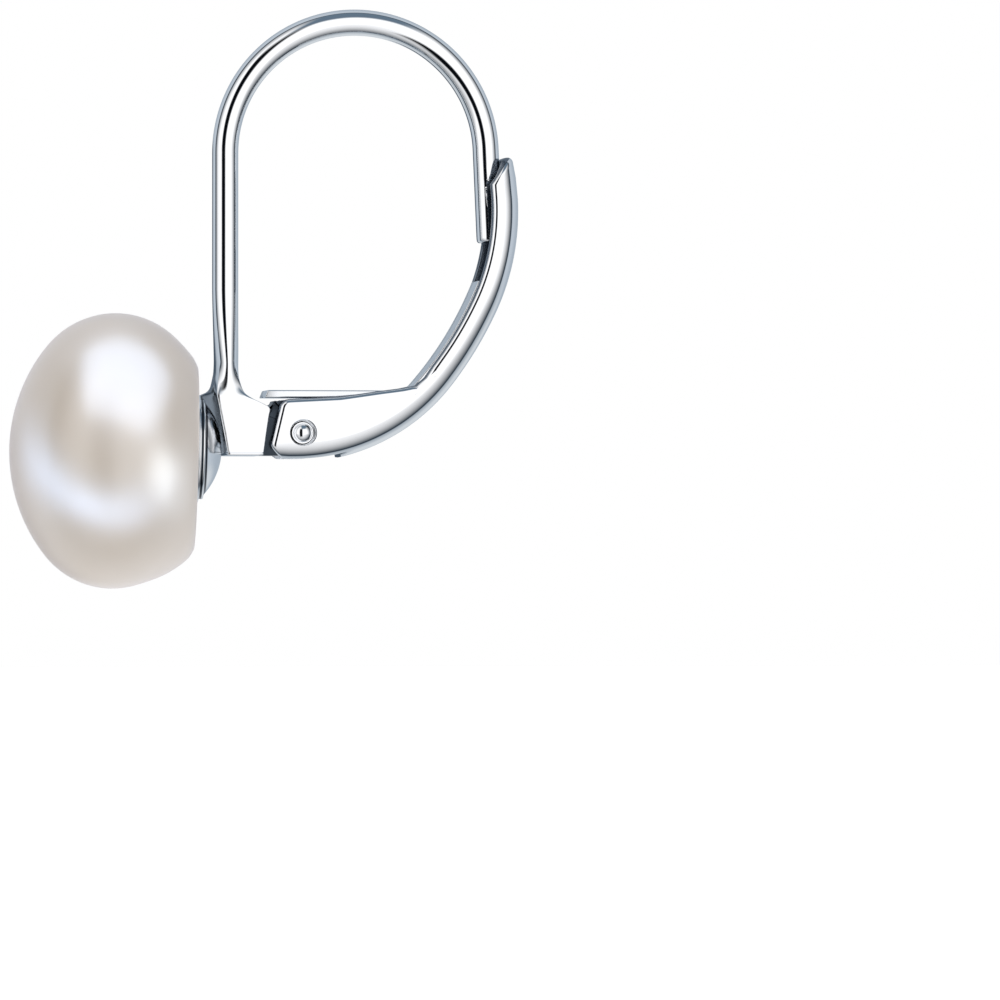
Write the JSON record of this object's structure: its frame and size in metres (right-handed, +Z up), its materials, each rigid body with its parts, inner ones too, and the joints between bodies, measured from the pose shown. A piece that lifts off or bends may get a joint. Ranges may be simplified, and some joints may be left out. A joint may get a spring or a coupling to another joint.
{
  "type": "pearl earring",
  "caption": "Lever-back drop earring: a button pearl on a cup below a round arched ear wire, closed by a hinged channel lever with a spring leaf.",
  "frame": {"origin": "the inner top of the ear wire's arch, where it hangs in the ear lobe", "axes": "+Z up, -X towards the pearl and the front, +X towards the lever and the back, Y across the wire's plane"},
  "size_m": [0.0167, 0.009, 0.0191],
  "materials": {
    "silver": "polished rhodium-plated silver",
    "leaf_silver": "polished rolled strip",
    "nacre": "lustrous nacre with a soft pink and blue overtone"
  },
  "bodies": {
    "hook": {"ear_wire": "silver", "pearl": "nacre"},
    "lever_back": {"lever": "silver", "spring_leaf": "leaf_silver", "rivet": "silver"}
  },
  "joints": [
    {"name": "lever_hinge", "type": "hinge", "parent": "hook", "child": "lever_back", "pos_m": [-0.00188, 0, -0.01309], "axis": [0, 1, 0], "range_deg": [0, 90]}
  ]
}
